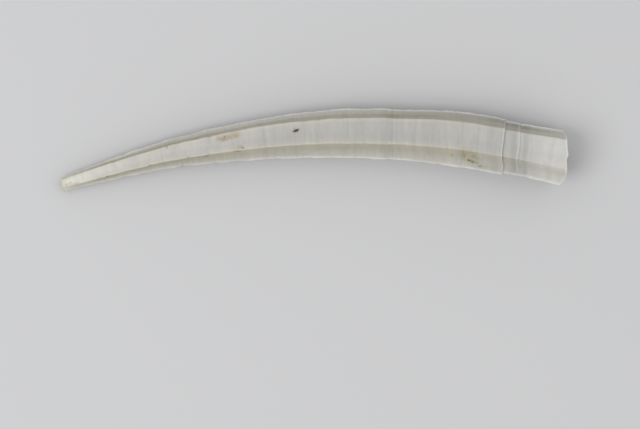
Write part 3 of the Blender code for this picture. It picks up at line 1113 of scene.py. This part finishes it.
class Recipe:
    """A material's nodes, added and linked one call at a time."""

    def __init__(self, name):
        self.material = bpy.data.materials.new(name)
        self.material.use_nodes = True
        self.tree = self.material.node_tree
        self.tree.nodes.clear()

    def add(self, kind, inputs=(), **settings):
        """A new node. inputs pairs its sockets' names or numbers with outputs or values."""
        node = self.tree.nodes.new(kind)
        for name, value in settings.items():
            setattr(node, name, value)
        for name, value in dict(inputs).items():
            self.put(node.inputs[name], value)
        return node

    def put(self, socket, value):
        """Links an output to a socket, or sets the socket's own value."""
        if isinstance(value, bpy.types.NodeSocket):
            self.tree.links.new(value, socket)
        else:
            socket.default_value = value

    def finished(self, shader):
        """The material, with this shader on its surface."""
        self.add("ShaderNodeOutputMaterial", {"Surface": shader})
        return self.material

    def pattern(self, name, output="Fac"):
        """What the mesh stores under this name."""
        return self.add("ShaderNodeAttribute", attribute_name=name).outputs[output]

    def maths(self, operation, first, second=0.0, clamp=False):
        """A sum on numbers."""
        settings = {"operation": operation, "use_clamp": clamp}
        return self.add("ShaderNodeMath", enumerate((first, second)), **settings).outputs["Value"]

    def vector(self, operation, *vectors):
        """A sum on vectors."""
        node = self.add("ShaderNodeVectorMath", enumerate(vectors), operation=operation)
        return node.outputs["Value" if operation == "LENGTH" else "Vector"]

    def texture(self, across, scale, detail=2.0, roughness=0.5, output="Fac"):
        """Smooth unevenness from 0 to 1, in cells of one over the scale."""
        grain = self.pattern("grain", "Vector")
        place = self.vector("MULTIPLY", grain, (1.0, across, across))
        sockets = {"Vector": place, "Scale": scale, "Detail": detail, "Roughness": roughness}
        return self.add("ShaderNodeTexNoise", sockets).outputs[output]

    def wavering(self, vector, reach, scale):
        """A place on the skin, pushed about by up to reach."""
        push = self.texture(1.0, scale, output="Color")
        push = self.vector("SUBTRACT", push, (0.5, 0.5, 0.5))
        return self.vector("MULTIPLY_ADD", push, (4.0 * reach, 4.0 * reach, 0.0), vector)

    def marks(self, marks, edge, reach, scale):
        """The strength of a set of marks: ellipses on the unrolled skin, with wavering edges."""
        skin = self.wavering(self.pattern("skin", "Vector"), reach, scale)
        found = 0.0
        for place, facet, way, half_length, half_width, turn, strength in marks:
            sockets = {
                "Vector": skin,
                "Location": (place, (facet + way) * float(facet_width(np.array(place))), 0.0),
                "Rotation": (0.0, 0.0, math.radians(turn)),
                "Scale": (half_length, half_width, 1.0),
            }
            ellipse = self.add("ShaderNodeMapping", sockets, vector_type="TEXTURE")
            away = self.vector("LENGTH", ellipse.outputs["Vector"])
            mark = self.spread(away, 1.0 + edge, 1.0 - edge, 0.0, strength, True)
            found = self.maths("MAXIMUM", found, mark)
        return found

    def lines(self, growth, lines):
        """The strength of a set of thin growth lines."""
        found = 0.0
        for place, half_width, strength in lines:
            away = self.maths("ABSOLUTE", self.maths("SUBTRACT", growth, place))
            line = self.spread(away, 2.0 * half_width, 0.0, 0.0, strength, True)
            found = self.maths("MAXIMUM", found, line)
        return found

    def spread(self, value, low, high, to_low=0.0, to_high=1.0, eased=False):
        """A value from low to high, as one from to_low to to_high."""
        names = ("Value", "From Min", "From Max", "To Min", "To Max")
        sockets = zip(names, (value, low, high, to_low, to_high))
        kind = "SMOOTHSTEP" if eased else "LINEAR"
        return self.add("ShaderNodeMapRange", sockets, interpolation_type=kind).outputs["Result"]

    def uneven(self, texture, low, high):
        """A texture as a value from low to high."""
        return self.spread(texture, 0.3, 0.7, low, high)

    def blotched(self, pattern, texture, low, high):
        """A pattern of the mesh, made stronger and weaker by a texture."""
        return self.maths("MULTIPLY", self.pattern(pattern), self.uneven(texture, low, high), True)

    def mix(self, factor, first, second, blend="MIX"):
        """The second colour over the first."""
        node = self.add("ShaderNodeMix", {0: factor}, data_type="RGBA", blend_type=blend)
        colours = [socket for socket in node.inputs if socket.type == "RGBA"]
        self.put(colours[0], first)
        self.put(colours[1], second)
        return next(socket for socket in node.outputs if socket.type == "RGBA")

    def ramp(self, value, stops):
        """The colour at a value, between stops of (value, colour)."""
        node = self.add("ShaderNodeValToRGB", {"Fac": value})
        elements = node.color_ramp.elements
        while len(elements) < len(stops):
            elements.new(1.0)
        for element, (place, colour) in zip(elements, stops):
            element.position = place
            element.color = colour
        return node.outputs["Color"]

    def grey(self, value):
        """A number as a grey colour."""
        sockets = dict.fromkeys(("Red", "Green", "Blue"), value)
        return self.add("ShaderNodeCombineColor", sockets).outputs["Color"]

    def bump(self, height):
        """Fine relief that shows only in the shading."""
        sockets = {"Height": height, "Strength": 1.0, "Distance": BUMP_HEIGHT * MM}
        return self.add("ShaderNodeBump", sockets).outputs["Normal"]

    def principled(self, colour, roughness, normal):
        """The finished material, with these as its surface's own."""
        sockets = {"Base Color": colour, "Roughness": roughness, "Normal": normal}
        return self.finished(self.add("ShaderNodeBsdfPrincipled", sockets).outputs["BSDF"])


def solid(colour):
    """A colour with full opacity."""
    return (*colour, 1.0)


def between(first, second, share):
    """A colour that share of the way from the first to the second."""
    return tuple(a + (b - a) * share for a, b in zip(first, second))


def aged_colour(recipe, colours):
    """Creamy at the tip, greyest past the middle and whiter towards the mouth."""
    tip, middle, mouth = colours.tip, colours.middle, colours.mouth
    stops = [(place, solid(between(tip, middle, share))) for place, share in OLDER]
    stops += [(place, solid(between(middle, mouth, share))) for place, share in NEWER]
    return recipe.ramp(recipe.maths("DIVIDE", recipe.pattern("growth"), LENGTH), stops)


def lit_by(recipe, colour, texture, low, high):
    """A colour times a texture."""
    return recipe.mix(1.0, colour, recipe.grey(recipe.uneven(texture, low, high)), "MULTIPLY")


def stained(recipe, colour, strength, stain, texture, patches):
    """A stain over a colour. The texture makes it patchy, and a little of the shell shows through."""
    strength = recipe.maths("MULTIPLY", strength, recipe.spread(texture, 0.35, 0.65, *patches))
    return recipe.mix(recipe.maths("MINIMUM", strength, MOST_STAIN), colour, solid(stain))


def shell_material(colours):
    """Old porcelain-like shell: matt, a little waxy, with fine growth lines across it."""
    recipe = Recipe("old tusk shell")
    slow, lines, fine, mottle, speckle = (recipe.texture(*each) for each in SHELL_TEXTURES)

    colour = aged_colour(recipe, colours)
    for texture, depth in zip((slow, lines, fine, mottle), TEXTURE_DEPTHS):
        colour = lit_by(recipe, colour, texture, 1.0 - depth, 1.0 + depth)
    flank = recipe.blotched("flank", slow, *FLANK_BLOTCHES)
    colour = recipe.mix(flank, colour, solid(colours.flank), "MULTIPLY")
    # Painted shade on the side facets and the tip's rim.
    colour = recipe.mix(recipe.pattern("painted_shade"), colour, solid(colours.painted_shade), "MULTIPLY")
    band = recipe.blotched("band", mottle, *BAND_BLOTCHES)
    colour = recipe.mix(band, colour, solid(colours.band), "MULTIPLY")

    rust = recipe.marks(RUST, *RUST_EDGE)
    colour = stained(recipe, colour, rust, colours.rust, mottle, RUST_PATCHES)
    newest = recipe.spread(recipe.pattern("growth"), *CREST_FADE)
    crest = recipe.maths("MULTIPLY", recipe.blotched("crest", lines, *CREST_BLOTCHES), newest)
    colour = recipe.mix(crest, colour, solid(colours.rib))
    # Painted highlight on the side ribs, the skin by them, the halts' lips and the mouth's rim.
    edge = recipe.blotched("edge", mottle, *EDGE_BLOTCHES)
    colour = recipe.mix(edge, colour, solid(colours.edge))
    dark_lines = recipe.lines(recipe.pattern("growth"), LINES)
    colour = recipe.mix(dark_lines, colour, solid(colours.soot))

    grime = recipe.marks(GRIME, *GRIME_EDGE)
    # The first halt's groove is browned in the dirt's colour.
    grime = recipe.maths("MAXIMUM", grime, recipe.pattern("crease"))
    sand, soot = recipe.marks(SAND, *SAND_EDGE), recipe.marks(SOOT, *SOOT_EDGE)
    colour = stained(recipe, colour, grime, colours.grime, speckle, GRIME_PATCHES)
    colour = stained(recipe, colour, sand, colours.sand, speckle, SAND_PATCHES)
    colour = stained(recipe, colour, soot, colours.soot, speckle, SOOT_PATCHES)

    rough = recipe.spread(recipe.maths("ADD", lines, mottle), 0.6, 1.4, *SHELL_ROUGHNESS)
    dirty = recipe.maths("MAXIMUM", soot, grime)
    rough = recipe.maths("ADD", rough, recipe.maths("MULTIPLY", dirty, DIRT_ROUGHNESS), True)
    height = lines
    for texture, share in ((fine, 0.5), (speckle, 0.25)):
        height = recipe.maths("ADD", height, recipe.maths("MULTIPLY", texture, share))
    return recipe.principled(colour, rough, recipe.bump(height))


def bore_material(colours):
    """The bore: smoother and glossier than the outside, with faint growth rings."""
    recipe = Recipe("tusk shell bore")
    rings, mottle = (recipe.texture(*each) for each in BORE_TEXTURES)
    colour = solid(colours.bore)
    for texture, depth in ((rings, 0.10), (mottle, 0.08)):
        colour = lit_by(recipe, colour, texture, 1.0 - depth, 1.0 + depth)
    return recipe.principled(colour, recipe.uneven(mottle, *BORE_ROUGHNESS), recipe.bump(rings))


# ---- The stage ---------------------------------------------------------------------------------


def floor_material(stage):
    """Pale to the eye and in reflections. It throws back less light than it shows."""
    recipe = Recipe("pale floor")
    paths = recipe.add("ShaderNodeLightPath").outputs
    seen = recipe.maths("MAXIMUM", paths["Is Camera Ray"], paths["Is Glossy Ray"])
    colours = solid((stage.floor_bounce,) * 3), solid(stage.floor)
    bounced, shown = (recipe.add("ShaderNodeBsdfDiffuse", {"Color": colour}) for colour in colours)
    sockets = enumerate((seen, bounced.outputs["BSDF"], shown.outputs["BSDF"]))
    return recipe.finished(recipe.add("ShaderNodeMixShader", sockets).outputs["Shader"])


def make_floor(stage, half_width):
    """One level square at the height of zero."""
    corners = [(x * half_width, y * half_width, 0.0) for x, y in ((-1, -1), (1, -1), (1, 1), (-1, 1))]
    mesh = bpy.data.meshes.new("floor")
    mesh.from_pydata(corners, [], [(0, 1, 2, 3)])
    mesh.materials.append(floor_material(stage))
    floor = bpy.data.objects.new("floor", mesh)
    bpy.context.scene.collection.objects.link(floor)


def make_sky(stage):
    """Even white light from all round."""
    world = bpy.data.worlds.new("studio")
    world.use_nodes = True
    background = world.node_tree.nodes["Background"]
    background.inputs["Color"].default_value = (1.0, 1.0, 1.0, 1.0)
    background.inputs["Strength"].default_value = stage.sky
    bpy.context.scene.world = world


def make_lamp(stage, target, direction, distance, size):
    """A large soft lamp, aimed at the target. Its power gives a level surface the stated light."""
    light = bpy.data.lights.new("soft lamp", "AREA")
    light.shape = "DISK"
    light.size = size
    slant = direction.normalized().z
    light.energy = stage.lamp * math.pi * math.pi * distance**2 / slant
    lamp = bpy.data.objects.new("soft lamp", light)
    lamp.location = target + direction.normalized() * distance
    lamp.rotation_euler = (target - lamp.location).to_track_quat("-Z", "Y").to_euler()
    bpy.context.scene.collection.objects.link(lamp)


def make_camera(stage, place):
    """Looks straight down, with +X to the right."""
    camera = bpy.data.objects.new("camera", bpy.data.cameras.new("camera"))
    camera.data.lens = stage.lens
    camera.data.sensor_width = 36.0
    camera.data.clip_start = 0.01
    camera.location = place
    bpy.context.scene.collection.objects.link(camera)
    bpy.context.scene.camera = camera


# ---- The add-on --------------------------------------------------------------------------------


class TUSK_SHELL_OT_shell(bpy.types.Operator):
    """Build the shell and let it stand for the frame's node"""

    bl_idname = "tusk_shell.shell"
    bl_label = "Build shell"

    def execute(self, context):
        scene = context.scene
        mesh = shell_mesh(scene.tusk_shell_sizes)
        mesh.materials.append(shell_material(scene.tusk_shell_colours))
        mesh.materials.append(bore_material(scene.tusk_shell_colours))
        shell = bpy.data.objects.new("tusk_shell", mesh)
        scene.collection.objects.link(shell)
        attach(shell, "root")
        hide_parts(NODE)
        return {"FINISHED"}


class TUSK_SHELL_OT_stage(bpy.types.Operator):
    """Build the floor, the lights and the camera"""

    bl_idname = "tusk_shell.stage"
    bl_label = "Build stage"

    def execute(self, context):
        stage = context.scene.tusk_shell_stage
        low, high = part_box(NODE)
        middle = (low + high) / 2
        length = high.x - low.x
        make_floor(stage, FLOOR_HALF_WIDTH * length)
        make_sky(stage)
        make_lamp(stage, middle, Vector(LAMP_DIRECTION), LAMP_DISTANCE * length, LAMP_SIZE * length)
        aside_x, aside_y = CAMERA_ASIDE
        place = (middle.x + aside_x * MM, middle.y + aside_y * MM, CAMERA_HEIGHT * MM)
        make_camera(stage, Vector(place))
        context.scene.view_settings.view_transform = "Standard"
        return {"FINISHED"}


class TUSK_SHELL_PT_panel(bpy.types.Panel):
    """Sizes, colours and build buttons"""

    bl_idname = "TUSK_SHELL_PT_panel"
    bl_label = "Tusk shell"
    bl_space_type = "VIEW_3D"
    bl_region_type = "UI"
    bl_category = "Tusk shell"

    def draw(self, context):
        scene = context.scene
        for group in (scene.tusk_shell_sizes, scene.tusk_shell_colours, scene.tusk_shell_stage):
            box = self.layout.box()
            for name in group.__annotations__:
                box.prop(group, name)
        self.layout.operator(TUSK_SHELL_OT_shell.bl_idname)
        self.layout.operator(TUSK_SHELL_OT_stage.bl_idname)


CLASSES = (
    TuskShellSizes,
    TuskShellColours,
    TuskShellStage,
    TUSK_SHELL_OT_shell,
    TUSK_SHELL_OT_stage,
    TUSK_SHELL_PT_panel,
)


def register():
    """Adds the classes, and their settings to the scene."""
    for item in CLASSES:
        bpy.utils.register_class(item)
    bpy.types.Scene.tusk_shell_sizes = PointerProperty(type=TuskShellSizes)
    bpy.types.Scene.tusk_shell_colours = PointerProperty(type=TuskShellColours)
    bpy.types.Scene.tusk_shell_stage = PointerProperty(type=TuskShellStage)


def unregister():
    """Takes out what register added."""
    del bpy.types.Scene.tusk_shell_stage
    del bpy.types.Scene.tusk_shell_colours
    del bpy.types.Scene.tusk_shell_sizes
    for item in reversed(CLASSES):
        bpy.utils.unregister_class(item)


def main():
    """Builds everything."""
    register()
    bpy.ops.tusk_shell.shell()
    bpy.ops.tusk_shell.stage()


if __name__ == "__main__":
    main()
